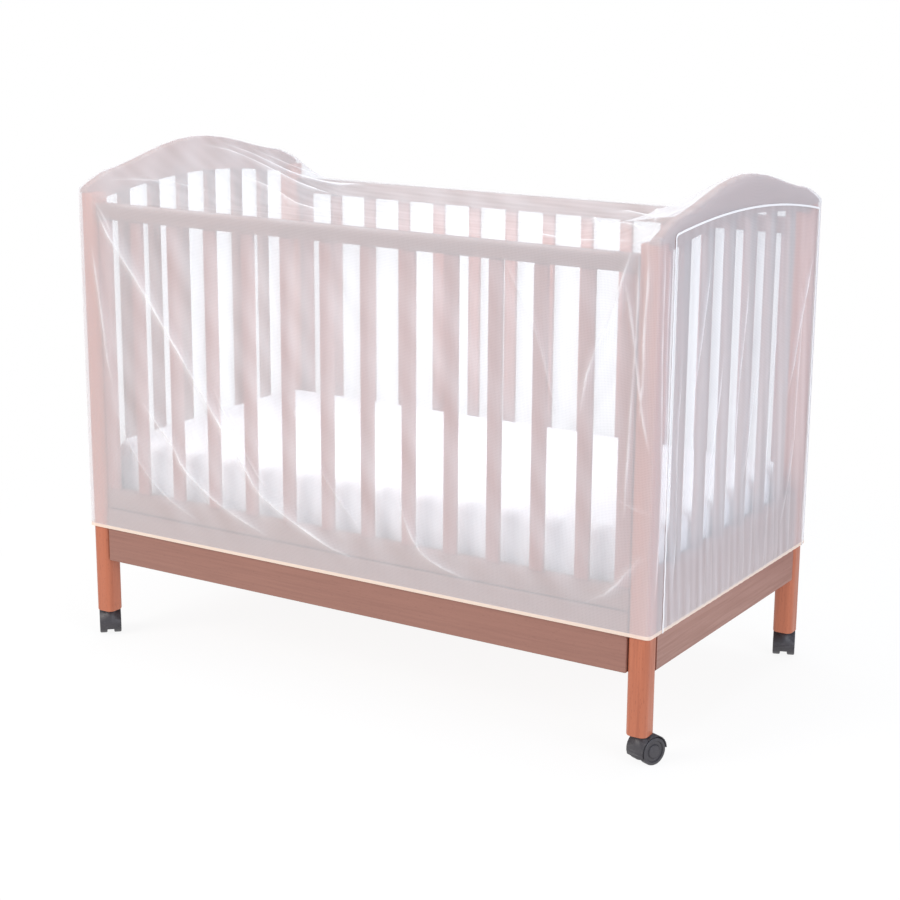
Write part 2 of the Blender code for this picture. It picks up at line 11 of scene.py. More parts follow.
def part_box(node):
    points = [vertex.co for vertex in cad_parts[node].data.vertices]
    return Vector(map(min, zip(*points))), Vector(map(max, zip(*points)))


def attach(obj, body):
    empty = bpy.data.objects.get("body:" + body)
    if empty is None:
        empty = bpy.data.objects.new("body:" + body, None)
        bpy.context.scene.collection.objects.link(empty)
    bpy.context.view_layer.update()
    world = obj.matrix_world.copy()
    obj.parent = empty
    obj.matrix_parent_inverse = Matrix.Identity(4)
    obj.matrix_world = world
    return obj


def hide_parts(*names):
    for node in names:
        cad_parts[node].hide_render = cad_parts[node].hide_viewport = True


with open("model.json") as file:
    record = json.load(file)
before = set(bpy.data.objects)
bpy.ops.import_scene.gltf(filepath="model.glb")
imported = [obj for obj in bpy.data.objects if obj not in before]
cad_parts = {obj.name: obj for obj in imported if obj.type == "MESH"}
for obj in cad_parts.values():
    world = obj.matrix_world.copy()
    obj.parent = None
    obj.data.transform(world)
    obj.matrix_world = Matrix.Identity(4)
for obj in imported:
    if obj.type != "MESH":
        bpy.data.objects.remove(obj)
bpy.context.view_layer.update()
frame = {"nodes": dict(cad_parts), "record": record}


# Small helpers

def linear(hexText):  # sRGB hex to linear RGBA
    values = [int(hexText[i:i + 2], 16) / 255 for i in (1, 3, 5)]
    return (*[v / 12.92 if v <= 0.04045 else ((v + 0.055) / 1.055) ** 2.4 for v in values], 1.0)


def addNode(tree, kind, links=None, **settings):
    node = tree.nodes.new(kind)
    for name, value in settings.items():
        setattr(node, name, value)
    for socket, source in (links or {}).items():
        if isinstance(source, bpy.types.NodeSocket):
            tree.links.new(source, node.inputs[socket])
        else:
            node.inputs[socket].default_value = source
    return node


def newMaterial(name):  # an empty tree and its output
    material = bpy.data.materials.new(name)
    material.use_nodes = True
    material.node_tree.nodes.clear()
    return material, material.node_tree, material.node_tree.nodes.new("ShaderNodeOutputMaterial")


def addPiece(name, bm, material, sharpAngle=40):
    mesh = bpy.data.meshes.new(name)
    bm.to_mesh(mesh)
    bm.free()
    mesh.shade_smooth()
    mesh.set_sharp_from_angle(angle=math.radians(sharpAngle))
    mesh.materials.append(material)
    piece = bpy.data.objects.new(name, mesh)
    bpy.context.scene.collection.objects.link(piece)
    return piece


def standFor(piece, node, body):
    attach(piece, body)
    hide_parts(node)
    return piece


def pieceName(node):  # front_top_rail becomes FrontTopRail
    return node.title().replace("_", "")


# Camera and light

view = dict(place=(1.9896, -3.1389, 1.3530), yaw=32.184, pitch=14.307, roll=0.372, lens=78.27)
cameraData = bpy.data.cameras.new("camera")
cameraData.sensor_width = 36
cameraData.lens = view["lens"]
camera = bpy.data.objects.new("camera", cameraData)
turn = Matrix.Rotation(math.radians(view["yaw"]), 4, "Z")
tip = Matrix.Rotation(math.radians(90 - view["pitch"]), 4, "X")
roll = Matrix.Rotation(math.radians(view["roll"]), 4, "Z")
camera.matrix_world = Matrix.Translation(view["place"]) @ turn @ tip @ roll
bpy.context.scene.collection.objects.link(camera)
bpy.context.scene.camera = camera
bpy.context.scene.view_settings.view_transform = "Standard"

studio = dict(
    skyColour="#eef4ff", skyStrength=0.62, key=145, fill=84, top=42, inner=1.5,
    floorRadius=1.9, floorFadeFrom=0.9, floorFadeTo=1.8, floorGlow=0.90,
)
lamps = (
    # name, place, size, power, colour
    ("keyLamp", (-2.0, -3.8, 2.7), 2.4, studio["key"], "#fffaf4"),
    ("fillLamp", (3.9, -1.6, 1.7), 2.2, studio["fill"], "#eef3ff"),
    ("topLamp", (0.0, 0.5, 3.2), 2.2, studio["top"], "#ffffff"),
    ("innerLamp", (0.0, 0.0, 0.84), 0.55, studio["inner"], "#ffffff"),
)
for lampName, place, size, power, tint in lamps:
    lampData = bpy.data.lights.new(lampName, "AREA")
    lampData.size = size
    lampData.energy = power
    lampData.color = linear(tint)[:3]
    lamp = bpy.data.objects.new(lampName, lampData)
    aim = Vector((0, 0, 0.5)) - Vector(place)
    lamp.matrix_world = Matrix.Translation(place) @ aim.to_track_quat("-Z", "Y").to_matrix().to_4x4()
    lamp.visible_camera = False  # the inner lamp stands in view, above the mattress
    bpy.context.scene.collection.objects.link(lamp)
world = bpy.data.worlds.new("studio")  # a white sheet behind the crib, softer sky light on it
world.use_nodes = True
tree = world.node_tree
tree.nodes.clear()
worldOut = tree.nodes.new("ShaderNodeOutputWorld")
rays = addNode(tree, "ShaderNodeLightPath")
sky = addNode(tree, "ShaderNodeBackground", {
    "Color": linear(studio["skyColour"]), "Strength": studio["skyStrength"],
})
paper = addNode(tree, "ShaderNodeBackground", {"Color": linear("#ffffff"), "Strength": 1.0})
shown = addNode(tree, "ShaderNodeMixShader", {
    0: rays.outputs["Is Camera Ray"], 1: sky.outputs[0], 2: paper.outputs[0],
})
tree.links.new(shown.outputs[0], worldOut.inputs["Surface"])
bpy.context.scene.world = world

floorMaterial, tree, out = newMaterial("whitePaper")  # matt paper that fades into the white behind it
where = addNode(tree, "ShaderNodeTexCoord")
away = addNode(tree, "ShaderNodeVectorMath", {0: where.outputs["Object"]}, operation="LENGTH")
fade = addNode(tree, "ShaderNodeMapRange", {
    0: away.outputs["Value"], 1: studio["floorFadeFrom"], 2: studio["floorFadeTo"],
}, interpolation_type="SMOOTHSTEP")
matt = addNode(tree, "ShaderNodeBsdfDiffuse", {"Color": linear("#fafafa")})
glow = addNode(tree, "ShaderNodeEmission", {"Color": linear("#ffffff"), "Strength": 1.0})
lit = addNode(tree, "ShaderNodeMixShader", {0: studio["floorGlow"], 1: matt.outputs[0], 2: glow.outputs[0]})
clear = addNode(tree, "ShaderNodeBsdfTransparent")
faded = addNode(tree, "ShaderNodeMixShader", {0: fade.outputs[0], 1: lit.outputs[0], 2: clear.outputs[0]})
tree.links.new(faded.outputs[0], out.inputs["Surface"])
bm = bmesh.new()
bmesh.ops.create_circle(bm, cap_ends=True, segments=64, radius=studio["floorRadius"])
addPiece("floor", bm, floorMaterial)
print("studio done")


# Wood: beech, stained and lacquered to a satin gloss

wood = dict(
    grainWidth=5.0, grainStretch=28, fleckLength=2.2, roughness=0.40, ior=1.5,
    post=("#b86a4b", "#a2593e", "#84442f"),
    slat=("#a76c5f", "#945d4f", "#805044"),
    rail=("#96695b", "#845b4f", "#744f44"),
    # board: painted shade, the end boards darker and greyer than the posts for the shade the ends stand in
    board=("#9d6c5d", "#8b5d4f", "#794f44"),
    base=("#b98672", "#a97562", "#946352"),
)


def woodMaterial(name, along, colours):  # along is the axis that the grain follows (0, 1 or 2)
    material, tree, out = newMaterial(name)
    where = addNode(tree, "ShaderNodeTexCoord")
    stretch = [1000 / wood["grainWidth"]] * 3  # one grain line each so many mm
    stretch[along] /= wood["grainStretch"]
    grainPlace = addNode(tree, "ShaderNodeMapping", {"Vector": where.outputs["Object"], "Scale": stretch})
    grain = addNode(tree, "ShaderNodeTexNoise", {
        "Vector": grainPlace.outputs[0], "Scale": 1.0, "Detail": 4.0, "Distortion": 0.4,
    })
    broadPlace = addNode(tree, "ShaderNodeMapping", {
        "Vector": where.outputs["Object"], "Scale": [v / 9 for v in stretch],
    })
    broad = addNode(tree, "ShaderNodeTexNoise", {"Vector": broadPlace.outputs[0], "Scale": 1.0, "Detail": 2.0})
    fleckSize = [1000 / wood["fleckLength"]] * 3
    fleckSize[along] /= 4
    fleckPlace = addNode(tree, "ShaderNodeMapping", {"Vector": where.outputs["Object"], "Scale": fleckSize})
    flecks = addNode(tree, "ShaderNodeTexNoise", {"Vector": fleckPlace.outputs[0], "Scale": 1.0, "Detail": 1.0})
    grainShare = addNode(tree, "ShaderNodeMapRange", {0: grain.outputs["Fac"], 1: 0.36, 2: 0.70})
    broadShare = addNode(tree, "ShaderNodeMapRange", {0: broad.outputs["Fac"], 1: 0.3, 2: 0.7, 3: 0.25, 4: 0.95})
    both = addNode(tree, "ShaderNodeMath", {0: grainShare.outputs[0], 1: broadShare.outputs[0]},
                   operation="MULTIPLY")
    fleckShare = addNode(tree, "ShaderNodeMapRange", {0: flecks.outputs["Fac"], 1: 0.62, 2: 0.72, 4: 0.30})
    light, dark, fleck = [linear(colour) for colour in colours]
    mixed = addNode(tree, "ShaderNodeMix", {0: both.outputs[0], 6: light, 7: dark}, data_type="RGBA")
    flecked = addNode(tree, "ShaderNodeMix", {0: fleckShare.outputs[0], 6: mixed.outputs[2], 7: fleck},
                      data_type="RGBA")
    gloss = addNode(tree, "ShaderNodeMapRange", {
        0: grain.outputs["Fac"], 1: 0.3, 2: 0.7, 3: wood["roughness"] - 0.05, 4: wood["roughness"] + 0.08,
    })
    bump = addNode(tree, "ShaderNodeBump", {
        "Height": grain.outputs["Fac"], "Strength": 0.12, "Distance": 0.0004,
    })
    shader = addNode(tree, "ShaderNodeBsdfPrincipled", {
        "Base Color": flecked.outputs[2], "Roughness": gloss.outputs[0], "Normal": bump.outputs[0],
        "IOR": wood["ior"],
    })
    tree.links.new(shader.outputs[0], out.inputs["Surface"])
    return material


postWood = woodMaterial("beechPost", 2, wood["post"])  # the warmest; the slat, rail and board tones are darker and greyer, the boards' as painted shade
slatWood = woodMaterial("beechSlat", 2, wood["slat"])
railWood = woodMaterial("beechRail", 0, wood["rail"])
shadedBoardWood = woodMaterial("beechBoard", 1, wood["board"])
baseWood = woodMaterial("beechPly", 0, wood["base"])


def boxOf(node):  # a box that fills a node's own
    low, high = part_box(node)
    bm = bmesh.new()
    bmesh.ops.create_cube(bm, size=1.0)
    bmesh.ops.scale(bm, vec=high - low, verts=bm.verts)
    bmesh.ops.translate(bm, vec=(low + high) / 2, verts=bm.verts)
    return bm


def ease(bm, edges, offset, segments):
    bmesh.ops.bevel(bm, geom=edges, offset=offset, segments=segments, profile=0.5, affect="EDGES", material=-1)


def uprightEdges(bm):
    return [e for e in bm.edges if abs(e.verts[0].co.z - e.verts[1].co.z) > 0.08]


def rimEdges(bm):
    return [e for e in bm.edges if abs(e.verts[0].co.z - e.verts[1].co.z) < 1e-6]


def mergedCopy(node):  # a node's own shape, merged so that its curves shade smoothly
    bm = bmesh.new()
    bm.from_mesh(nodes[node].data)
    bmesh.ops.transform(bm, matrix=nodes[node].matrix_world, verts=bm.verts)
    bmesh.ops.remove_doubles(bm, verts=bm.verts, dist=0.00001)
    return bm


bars = dict(slatRound=0.0028, railRound=0.003, baseRound=0.0015)
posts = dict(cornerRound=0.012, cornerSteps=6, endRound=0.0025)
nodes = frame["nodes"]
for node in [n for n in nodes if n.startswith("post_")]:
    bm = boxOf(node)
    ease(bm, uprightEdges(bm), posts["cornerRound"], posts["cornerSteps"])
    ease(bm, rimEdges(bm), posts["endRound"], 2)
    standFor(addPiece(pieceName(node), bm, postWood), node, "root")
for node in [n for n in nodes if "slat_" in n or "stile" in n]:
    bm = boxOf(node)
    ease(bm, bm.edges[:], bars["slatRound"], 3)
    standFor(addPiece(pieceName(node), bm, slatWood), node, "root")
for node in [n for n in nodes if n.endswith(("apron", "rail"))]:
    bm = boxOf(node)
    ease(bm, bm.edges[:], bars["railRound"], 3)
    standFor(addPiece(pieceName(node), bm, railWood), node, "root")
bm = boxOf("mattress_base")
ease(bm, bm.edges[:], bars["baseRound"], 2)
standFor(addPiece("MattressBase", bm, baseWood), "mattress_base", "root")
for node in ("left_end_panel", "right_end_panel"):
    standFor(addPiece(pieceName(node), mergedCopy(node), shadedBoardWood, 30), node, "root")
print("wood done")


# Mattress: foam block in a white cotton cover, softly crowned

mattress = dict(
    corner=0.034, edge=0.020, crown=0.004, dimple=0.0012, lanesAlong=40, lanesAcross=20,
    threadPitch=1.2, light="#fbfcfe", shade="#f1f3f7",
)


def cottonMaterial():
    material, tree, out = newMaterial("wovenCotton")  # matt plain weave, drawn at 1.2 mm so that it shows
    where = addNode(tree, "ShaderNodeTexCoord")
    bands = 1000 / mattress["threadPitch"] / 20  # a wave of scale 1 has 20 bands in a metre
    warp = addNode(tree, "ShaderNodeTexWave", {"Vector": where.outputs["Object"], "Scale": bands},
                   bands_direction="X")
    weft = addNode(tree, "ShaderNodeTexWave", {"Vector": where.outputs["Object"], "Scale": bands},
                   bands_direction="Y")
    weave = addNode(tree, "ShaderNodeMath", {0: warp.outputs["Fac"], 1: weft.outputs["Fac"]},
                    operation="MULTIPLY")
    soft = addNode(tree, "ShaderNodeTexNoise", {"Vector": where.outputs["Object"], "Scale": 9.0, "Detail": 3.0})
    tone = addNode(tree, "ShaderNodeMix", {
        0: soft.outputs["Fac"], 6: linear(mattress["shade"]), 7: linear(mattress["light"]),
    }, data_type="RGBA")
    bump = addNode(tree, "ShaderNodeBump", {
        "Height": weave.outputs[0], "Strength": 0.15, "Distance": 0.0003,
    })
    shader = addNode(tree, "ShaderNodeBsdfPrincipled", {
        "Base Color": tone.outputs[2], "Roughness": 0.88, "Normal": bump.outputs[0],
    })
    tree.links.new(shader.outputs[0], out.inputs["Surface"])
    return material


low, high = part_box("mattress")
bm = boxOf("mattress")
ease(bm, uprightEdges(bm), mattress["corner"], 6)
ease(bm, rimEdges(bm), mattress["edge"], 5)
for axis, count in ((0, mattress["lanesAlong"]), (1, mattress["lanesAcross"])):  # loops that let the block crown
    across = Vector((1 - axis, axis, 0))
    for lane in range(1, count):
        spot = across * (low[axis] + (high[axis] - low[axis]) * lane / count)
        bmesh.ops.bisect_plane(bm, geom=bm.verts[:] + bm.edges[:] + bm.faces[:], plane_co=spot, plane_no=across)
for vert in bm.verts:
    if vert.co.z > high.z - 0.004:
        inner = max(1 - abs(vert.co.x / high.x) ** 4, 0) * max(1 - abs(vert.co.y / high.y) ** 4, 0)
        waves = math.sin(21 * vert.co.x + 3 * vert.co.y) + math.sin(9 * vert.co.x - 26 * vert.co.y + 1)
        vert.co.z += (mattress["crown"] + mattress["dimple"] * waves) * inner
cover = standFor(addPiece("MattressCover", bm, cottonMaterial(), 60), "mattress", "root")
print("mattress done")


# Casters: twin wheels under a moulded hood

caster = dict(steps=48, axleRadius=0.0031, axleLength=0.0136, colour="#39363a", worn="#4a474b", roughness=0.46)
wheelProfile = (
    # radius, distance from the middle of the axle: tread, shoulder, rim ring, dish and hub cap
    (0.0032, 0.0066), (0.0215, 0.0066), (0.0240, 0.0072), (0.0250, 0.0086), (0.0250, 0.0190), (0.0243, 0.0206),
    (0.0228, 0.0214), (0.0196, 0.0214), (0.0188, 0.0206), (0.0184, 0.0192), (0.0128, 0.0188), (0.0122, 0.0200),
    (0.0108, 0.0210), (0.0060, 0.0214), (0.0000, 0.0215),
)


def nylonMaterial():
    material, tree, out = newMaterial("mouldedNylon")  # fine spark texture from the mould, softly glossy
    where = addNode(tree, "ShaderNodeTexCoord")
    texture = addNode(tree, "ShaderNodeTexNoise", {
        "Vector": where.outputs["Object"], "Scale": 1400.0, "Detail": 2.0,
    })
    scuffs = addNode(tree, "ShaderNodeTexNoise", {
        "Vector": where.outputs["Object"], "Scale": 130.0, "Detail": 4.0,
    })
    scuffShare = addNode(tree, "ShaderNodeMapRange", {0: scuffs.outputs["Fac"], 1: 0.55, 2: 0.75})
    tone = addNode(tree, "ShaderNodeMix", {
        0: scuffShare.outputs[0], 6: linear(caster["colour"]), 7: linear(caster["worn"]),
    }, data_type="RGBA")
    gloss = addNode(tree, "ShaderNodeMapRange", {
        0: scuffs.outputs["Fac"], 1: 0.3, 2: 0.7, 3: caster["roughness"] - 0.08, 4: caster["roughness"] + 0.1,
    })
    bump = addNode(tree, "ShaderNodeBump", {
        "Height": texture.outputs["Fac"], "Strength": 0.2, "Distance": 0.0002,
    })
    shader = addNode(tree, "ShaderNodeBsdfPrincipled", {
        "Base Color": tone.outputs[2], "Roughness": gloss.outputs[0], "Normal": bump.outputs[0], "IOR": 1.53,
    })
    tree.links.new(shader.outputs[0], out.inputs["Surface"])
    return material


def buildWheels():  # two wheels and their axle, turned about Y
    bm = bmesh.new()
    for face in (-1, 1):
        verts = [bm.verts.new((radius, face * width, 0)) for radius, width in wheelProfile]
        edges = [bm.edges.new(pair) for pair in zip(verts, verts[1:])]
        bmesh.ops.spin(bm, geom=verts + edges, cent=(0, 0, 0), axis=(0, 1, 0), angle=2 * math.pi,
                       steps=caster["steps"], use_merge=True)
    bmesh.ops.create_cone(bm, cap_ends=True, segments=16, radius1=caster["axleRadius"],
                          radius2=caster["axleRadius"], depth=caster["axleLength"],
                          matrix=Matrix.Rotation(math.pi / 2, 4, "X"))
    bmesh.ops.remove_doubles(bm, verts=bm.verts, dist=0.00002)
    bmesh.ops.recalc_face_normals(bm, faces=bm.faces)
    return bm


nylon = nylonMaterial()
joints = {joint["name"]: joint for joint in frame["record"]["behaviour"]["joints"]}
for corner in ("front_left", "front_right", "rear_left", "rear_right"):
    hood = addPiece("CasterHood" + pieceName(corner), mergedCopy(f"caster_hood_{corner}"), nylon, 30)
    standFor(hood, f"caster_hood_{corner}", f"caster_{corner}")
    rolling = joints[f"roll_{corner}"]
    heading = math.atan2(-rolling["axis"][0], rolling["axis"][1])
    bm = buildWheels()
    bmesh.ops.transform(bm, matrix=Matrix.Translation(rolling["pos_m"]) @ Matrix.Rotation(heading, 4, "Z"),
                        verts=bm.verts)
    wheels = addPiece("CasterWheels" + pieceName(corner), bm, nylon, 30)
    standFor(wheels, f"caster_wheels_{corner}", f"wheels_{corner}")
print("casters done")


# Net: the inner face of the cloth, in metres, with the solids' own values

net = dict(
    x=0.6235, y=0.3386, hem=0.2346, onBoard=0.0006, onRail=0.003, sideRound=0.008, topRound=0.009,
    sag=0.014, slopeEdge=0.060, slopeMiddle=0.300, slopePower=1.6, slopeSpread=0.7, slopeInset=0.002,
    seamFront=-0.290, seamRear=0.320, seamRound=0.008, seamCrestY=-0.050, seamCrestZ=0.926, seamFall=0.250,
    seamGap=0.0003, taper=0.060,
)
arch = dict(shoulderY=0.245, shoulderZ=0.9395, rise=0.0425, power=1.3, drop=0.0295, dropPower=1.6, halfWidth=0.3356)
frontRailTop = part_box("front_top_rail")[1].z
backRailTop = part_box("back_top_rail")[1].z
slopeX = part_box("right_end_panel")[0].x - net["slopeInset"]

frontFolds = (
    # half width, height, strength of the painted highlight along the crest, corners as X and Z
    (0.022, 0.009, 1.0, ((-0.575, 0.868), (-0.524, 0.803), (-0.469, 0.740), (-0.415, 0.669), (-0.352, 0.589),
                         (-0.285, 0.497), (-0.221, 0.412), (-0.193, 0.371), (-0.135, 0.339), (-0.035, 0.292),
                         (0.014, 0.278))),
    (0.018, 0.006, 0.7, ((-0.590, 0.800), (-0.575, 0.730), (-0.557, 0.585), (-0.549, 0.530))),
    (0.020, 0.007, 0.8, ((-0.470, 0.505), (-0.394, 0.432), (-0.374, 0.389), (-0.314, 0.349), (-0.271, 0.326),
                         (-0.176, 0.284))),
    (0.018, 0.006, 0.8, ((0.572, 0.895), (0.555, 0.836), (0.546, 0.794), (0.502, 0.698), (0.484, 0.611))),
    (0.018, 0.006, 0.6, ((0.120, 0.400), (0.163, 0.320), (0.199, 0.298), (0.270, 0.278))),
    (0.018, 0.006, 0.8, ((0.505, 0.284), (0.549, 0.307), (0.604, 0.380))),
    (0.008, 0.0025, 0.6, ((-0.585, 0.885), (-0.573, 0.879), (-0.544, 0.843), (-0.530, 0.815))),
    (0.010, 0.0035, 0.9, ((0.598, 0.905), (0.603, 0.852), (0.597, 0.760), (0.599, 0.690), (0.592, 0.600))),
    (0.010, 0.0035, 0.8, ((0.560, 0.840), (0.575, 0.775), (0.586, 0.700), (0.598, 0.621), (0.612, 0.560))),
    (0.009, 0.003, 0.7, ((0.584, 0.890), (0.585, 0.780), (0.577, 0.620), (0.574, 0.528), (0.570, 0.440))),
    (0.009, 0.003, 0.7, ((0.560, 0.470), (0.589, 0.458), (0.615, 0.453))),
    (0.009, 0.003, 0.5, ((0.575, 0.330), (0.592, 0.362), (0.612, 0.378))),
    (0.010, 0.003, 0.35, ((-0.300, 0.560), (-0.245, 0.470), (-0.186, 0.390), (-0.150, 0.360))),
    (0.010, 0.003, 0.30, ((-0.540, 0.480), (-0.500, 0.400), (-0.430, 0.330), (-0.340, 0.285))),
    (0.010, 0.003, 0.25, ((0.330, 0.860), (0.400, 0.740), (0.440, 0.600))),
    (0.010, 0.003, 0.25, ((-0.120, 0.560), (-0.060, 0.440), (0.040, 0.330))),
)
backFolds = (
    (0.024, 0.009, 0.8, ((0.360, 0.840), (0.265, 0.650), (0.180, 0.480), (0.090, 0.370), (0.020, 0.300))),
    (0.020, 0.007, 0.7, ((-0.560, 0.840), (-0.510, 0.690), (-0.440, 0.520))),
    (0.012, 0.003, 0.4, ((0.540, 0.800), (0.500, 0.620), (0.430, 0.430))),
    (0.012, 0.003, 0.4, ((-0.200, 0.820), (-0.240, 0.600), (-0.330, 0.400))),
)
endFolds = (
    # corners as Y and Z
    (0.014, 0.006, 0.9, ((0.305, 0.800), (0.287, 0.778), (0.262, 0.720), (0.236, 0.653), (0.215, 0.560))),
    (0.014, 0.005, 0.7, ((-0.150, 0.860), (-0.167, 0.795), (-0.189, 0.693), (-0.212, 0.620), (-0.190, 0.440))),
    (0.014, 0.005, 0.6, ((0.060, 0.640), (0.035, 0.540), (0.020, 0.430))),
    (0.009, 0.003, 0.7, ((0.010, 0.800), (0.004, 0.740), (-0.018, 0.612), (-0.023, 0.500), (-0.018, 0.420))),
    (0.009, 0.003, 0.7, ((-0.085, 0.680), (-0.097, 0.604), (-0.109, 0.558), (-0.135, 0.442), (-0.128, 0.370))),
    (0.009, 0.003, 0.6, ((0.256, 0.750), (0.262, 0.668), (0.250, 0.523), (0.253, 0.450), (0.206, 0.300))),
    (0.008, 0.003, 0.5, ((0.150, 0.720), (0.132, 0.600), (0.120, 0.480), (0.128, 0.380))),
    (0.008, 0.003, 0.5, ((-0.250, 0.700), (-0.262, 0.560), (-0.252, 0.420), (-0.258, 0.300))),
    (0.008, 0.002, 0.8, ((-0.326, 0.900), (-0.328, 0.746), (-0.320, 0.600), (-0.314, 0.450), (-0.322, 0.300))),
    (0.008, 0.002, 0.7, ((-0.306, 0.880), (-0.310, 0.740), (-0.303, 0.590), (-0.307, 0.420))),
)
topFolds = (
    # corners as X and Y
    (0.020, 0.007, 0.9, ((-0.575, 0.050), (-0.524, 0.113), (-0.456, 0.143), (-0.420, 0.210), (-0.380, 0.290))),
    (0.020, 0.007, 0.9, ((-0.570, -0.010), (-0.539, 0.043), (-0.480, 0.083), (-0.382, 0.087), (-0.330, 0.120))),
    (0.018, 0.006, 0.7, ((-0.470, -0.030), (-0.423, -0.019), (-0.360, -0.027), (-0.253, -0.098), (-0.180, -0.130))),
    (0.020, 0.007, 0.6, ((0.570, 0.060), (0.430, 0.130), (0.300, 0.190), (0.250, 0.240))),
    (0.018, 0.006, 0.8, ((0.578, -0.310), (0.480, -0.170), (0.400, -0.090), (0.310, 0.030), (0.244, 0.140))),
    (0.014, 0.004, 0.8, ((0.585, -0.290), (0.530, -0.170), (0.470, -0.050), (0.430, 0.060))),
    (0.014, 0.004, 0.7, ((0.560, -0.320), (0.440, -0.250), (0.330, -0.200), (0.240, -0.130))),
    (0.014, 0.004, 0.6, ((-0.580, 0.130), (-0.540, 0.180), (-0.490, 0.250), (-0.470, 0.310))),
    (0.014, 0.004, 0.5, ((-0.580, -0.290), (-0.520, -0.200), (-0.440, -0.150))),
)


def archHeight(y):  # top edge of an arched board
    reach = np.minimum(np.abs(y), arch["halfWidth"])
    crown = np.cos(np.pi * np.minimum(reach, arch["shoulderY"]) / (2 * arch["shoulderY"])).clip(0) ** arch["power"]
    past = ((reach - arch["shoulderY"]) / (arch["halfWidth"] - arch["shoulderY"])).clip(0)
    return arch["shoulderZ"] + arch["rise"] * crown - arch["drop"] * past ** arch["dropPower"]


def topHeight(x, y):  # on the boards at the ends, down to the rails between them
    flat = net["onRail"] + frontRailTop + (backRailTop - frontRailTop) * (y + net["y"]) / (2 * net["y"])
    across = np.cos(np.pi * y / (2 * net["y"])).clip(0) ** net["slopeSpread"]
    run = net["slopeEdge"] + (net["slopeMiddle"] - net["slopeEdge"]) * across
    rise = (1 - (slopeX - np.abs(x)).clip(0) / run).clip(0) ** net["slopePower"]
    sag = net["sag"] * (1 - (x / slopeX) ** 2).clip(0) * (1 - (y / net["y"]) ** 2).clip(0)
    return flat + (archHeight(y) + net["onBoard"] - flat) * rise - sag


def seamHeight(y):
    return net["seamCrestZ"] - net["seamFall"] * (y - net["seamCrestY"]) ** 2


def outlinePoint(x, part, share):  # Y, Z and the inward direction of the outline, for places along the crib
    reach = net["y"] - net["topRound"]
    one = np.ones_like(x)
    if part in ("front", "back"):
        face = -1 if part == "front" else 1
        top = topHeight(x, face * reach * one) - net["topRound"]
        return face * net["y"] * one, net["hem"] + (top - net["hem"]) * share, -face * one, 0 * one
    if part in ("frontRound", "backRound"):
        face = -1 if part == "frontRound" else 1
        outY, outZ = face * math.cos(share * math.pi / 2), math.sin(share * math.pi / 2)
        z = topHeight(x, face * reach * one) - net["topRound"] * (1 - outZ)
        return (face * reach + net["topRound"] * outY) * one, z, -outY * one, -outZ * one
    y = (-reach + 2 * reach * share) * one
    return y, topHeight(x, y), 0 * one, -one


def seamPoint(part, share):  # Y, Z and the inward direction of the seam line
    lowY, highY = net["seamFront"] + net["seamRound"], net["seamRear"] - net["seamRound"]
    if part in ("front", "back"):
        face, y = (-1, net["seamFront"]) if part == "front" else (1, net["seamRear"])
        return y, net["hem"] + (seamHeight(y) - net["seamRound"] - net["hem"]) * share, -face, 0
    if part in ("frontRound", "backRound"):
        face, middle = (-1, lowY) if part == "frontRound" else (1, highY)
        outY, outZ = face * math.cos(share * math.pi / 2), math.sin(share * math.pi / 2)
        y = middle + net["seamRound"] * outY
        return y, seamHeight(y) - net["seamRound"] * (1 - outZ), -outY, -outZ
    y = lowY + (highY - lowY) * share
    return y, seamHeight(y), 0, -1


cloth = dict(
    wallRows=112, backRows=84, topRows=106, endColumns=232, roundRows=4, innerColumns=208, flapColumns=10,
    hemHeight=0.0062, wallHeight=0.64, hemThick=0.0006, crestWidth=0.0036, cellReach=0.009,
    # crest values: painted highlight, the fold crests more opaque and whiter, partly the cloth doubled there
    frontVeil=0.47, topVeil=0.44, endVeil=0.48, crestVeil=0.55, hemVeil=0.96,
    thread="#fbfdff", crestThread="#ffffff", hemThread="#fff1e2", meshPitch=2.6,
)


def smoothPath(corners):  # corners cut so that a fold bends softly
    path = [np.array(corner) for corner in corners]
    rounded = [path[0]]
    for a, b in zip(path, path[1:]):
        rounded += [a * 0.75 + b * 0.25, a * 0.25 + b * 0.75]
    return [*rounded, path[-1]]


def smoothStep(value, low, high):
    share = ((value - low) / (high - low)).clip(0, 1)
    return share * share * (3 - 2 * share)


def foldLift(a, b, folds):  # lift of the ridges and the painted highlight along their crests at each point
    lift, crest = np.zeros_like(a), np.zeros_like(a)
    for number, (halfWidth, height, shine, corners) in enumerate(folds):
        path = smoothPath(corners)
        lengths = [np.hypot(*(q - p)) for p, q in zip(path, path[1:])]
        total, run = sum(lengths), 0.0
        for p, q, length in zip(path, path[1:], lengths):
            step = q - p
            share = (((a - p[0]) * step[0] + (b - p[1]) * step[1]) / max(length ** 2, 1e-12)).clip(0, 1)
            off = np.hypot(a - p[0] - share * step[0], b - p[1] - share * step[1])
            along = run + share * length
            ends = (np.minimum(along, total - along) / net["taper"] + 0.1).clip(0, 1)
            lift = np.maximum(lift, height * ends * (1 - off / halfWidth).clip(0) ** 1.5)
            uneven = 0.72 + 0.28 * np.sin(along * 47 + 5 * number) * np.sin(along * 23 + number)
            # painted highlight: a white line along each fold's crest and a soft haze beside it, partly the cloth
            # doubled in the fold
            highlightLine = (1 - off / cloth["crestWidth"]).clip(0) * uneven
            highlightHaze = 0.22 * np.exp(-(off / (0.5 * halfWidth)) ** 2)
            crest = np.maximum(crest, shine * ends * np.maximum(highlightLine, highlightHaze))
            run += length
    return lift, crest


